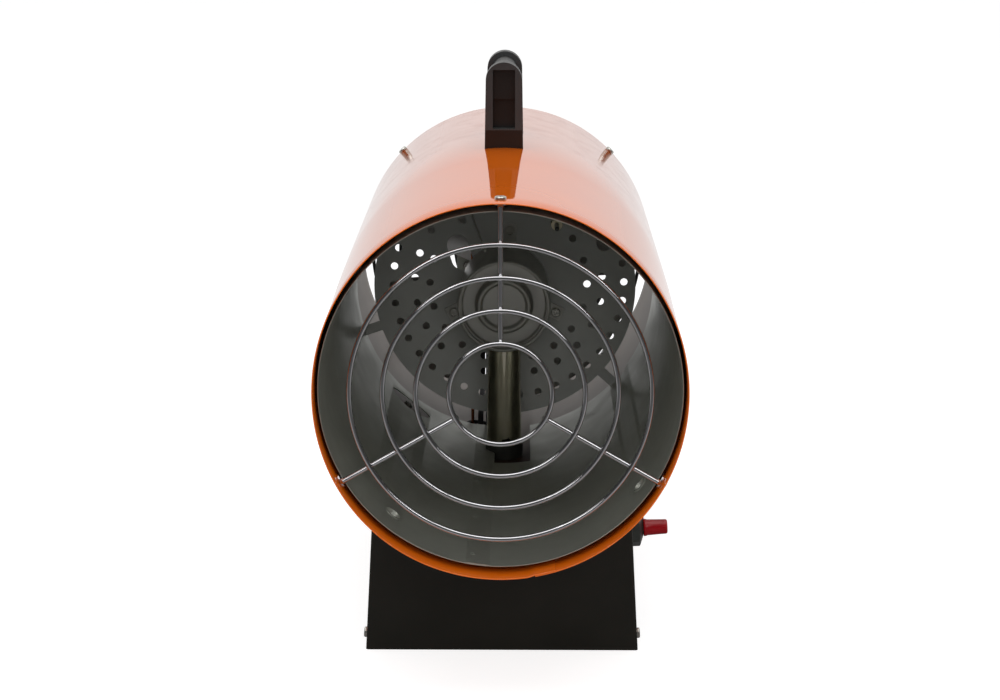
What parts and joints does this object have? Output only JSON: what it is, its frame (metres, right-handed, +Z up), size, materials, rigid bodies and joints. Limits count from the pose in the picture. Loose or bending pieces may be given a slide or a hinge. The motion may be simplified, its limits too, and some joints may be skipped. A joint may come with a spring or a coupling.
{
  "type": "portable propane heater",
  "caption": "Forced-air gas space heater: orange barrel on a black base, wire guards, burner, fan and motor inside, top handle and side controls.",
  "frame": {"origin": "on the floor, in the middle of the rectangular base", "axes": "+X to the right seen from the hot end, +Y from the hot end to the air intake, +Z up"},
  "size_m": [0.25, 0.525, 0.4042],
  "materials": {
    "orange_paint": "glossy orange powder coat",
    "black_paint": "satin black powder coat",
    "galvanised_steel": "dull zinc-coated sheet steel",
    "chrome_wire": "bright chrome plate on wire",
    "black_wire": "satin black coated wire",
    "zinc_screw": "bright zinc plate",
    "dark_steel": "dark heat-proof steel",
    "stainless_steel": "drawn stainless steel",
    "ground_steel": "ground steel",
    "brass_metal": "machined brass",
    "copper_metal": "drawn copper",
    "glazed_ceramic": "glazed off-white ceramic",
    "fan_aluminium": "pressed aluminium",
    "dark_fitting": "dark phosphated steel",
    "red_plastic": "semi-gloss red plastic",
    "black_plastic": "moulded black plastic",
    "white_plastic": "white moulded plastic",
    "black_rubber": "black rubber"
  },
  "bodies": {
    "heater": {"base_bottom_plate": "black_paint", "base_housing": "black_paint", "base_screws": "zinc_screw", "burner_bracket_nuts": "zinc_screw", "burner_bracket_screws": "zinc_screw", "burner_brackets": "stainless_steel", "burner_cap": "stainless_steel", "burner_cup": "stainless_steel", "burner_plate": "dark_steel", "cable_gland": "black_plastic", "front_guard": "chrome_wire", "gas_inlet_fitting": "dark_fitting", "gas_nozzle": "brass_metal", "gas_pipe": "copper_metal", "gas_valve_body": "brass_metal", "gland_locknut": "black_plastic", "guard_screws": "zinc_screw", "handle_front_post": "black_plastic", "handle_grip": "black_plastic", "handle_rear_post": "black_plastic", "handle_screws": "zinc_screw", "igniter_ceramic": "glazed_ceramic", "igniter_electrode": "dark_steel", "ignition_lead": "black_rubber", "inner_drum": "galvanised_steel", "lead_grommet": "black_rubber", "limit_thermostat": "black_plastic", "mixing_tube": "stainless_steel", "motor_bearings": "ground_steel", "motor_can": "black_paint", "motor_end_caps": "fan_aluminium", "motor_lead": "black_rubber", "motor_screws": "zinc_screw", "motor_strap": "galvanised_steel", "outer_shell": "orange_paint", "piezo_body": "black_plastic", "piezo_nut": "zinc_screw", "piezo_spring": "ground_steel", "plate_rivets": "zinc_screw", "rear_guard": "black_wire", "saddle_nuts": "zinc_screw", "saddle_screws": "zinc_screw", "stator_core": "dark_steel", "stator_windings": "copper_metal", "strap_screws": "zinc_screw", "switch_body": "black_plastic", "terminal_block": "white_plastic", "thermocouple": "stainless_steel", "thermocouple_lead": "copper_metal", "tube_collar": "dark_steel", "valve_nut": "zinc_screw", "valve_spring": "ground_steel"},
    "fan_assembly": {"fan": "fan_aluminium", "fan_nut": "zinc_screw", "motor_shaft": "ground_steel", "motor_rotor": "dark_steel"},
    "valve_button": {"valve_button": "red_plastic"},
    "piezo_button": {"piezo_button": "red_plastic"},
    "switch_rocker": {"switch_rocker": "black_plastic"},
    "inlet_cap": {"inlet_cap": "red_plastic"}
  },
  "joints": [
    {"name": "fan_spin", "type": "hinge", "parent": "heater", "child": "fan_assembly", "pos_m": [0, 0.166, 0.215], "axis": [0, 1, 0], "continuous": true},
    {"name": "valve_button_press", "type": "slide", "parent": "heater", "child": "valve_button", "axis": [-0.9984, 0, -0.0558], "range_m": [0, 0.006], "stiffness_N_per_m": 400, "springref_m": -0.005, "deforming": ["valve_spring"]},
    {"name": "piezo_button_press", "type": "slide", "parent": "heater", "child": "piezo_button", "axis": [-0.9984, 0, -0.0558], "range_m": [0, 0.006], "stiffness_N_per_m": 600, "springref_m": -0.005, "deforming": ["piezo_spring"]},
    {"name": "switch_rocker_tilt", "type": "hinge", "parent": "heater", "child": "switch_rocker", "pos_m": [0.09361, 0.061, 0.0695], "axis": [0.0558, 0, -0.9984], "range_deg": [0, 18]},
    {"name": "inlet_cap_pull", "type": "slide", "parent": "heater", "child": "inlet_cap", "axis": [0.9984, 0, 0.0558], "range_m": [0, 0.022]}
  ]
}
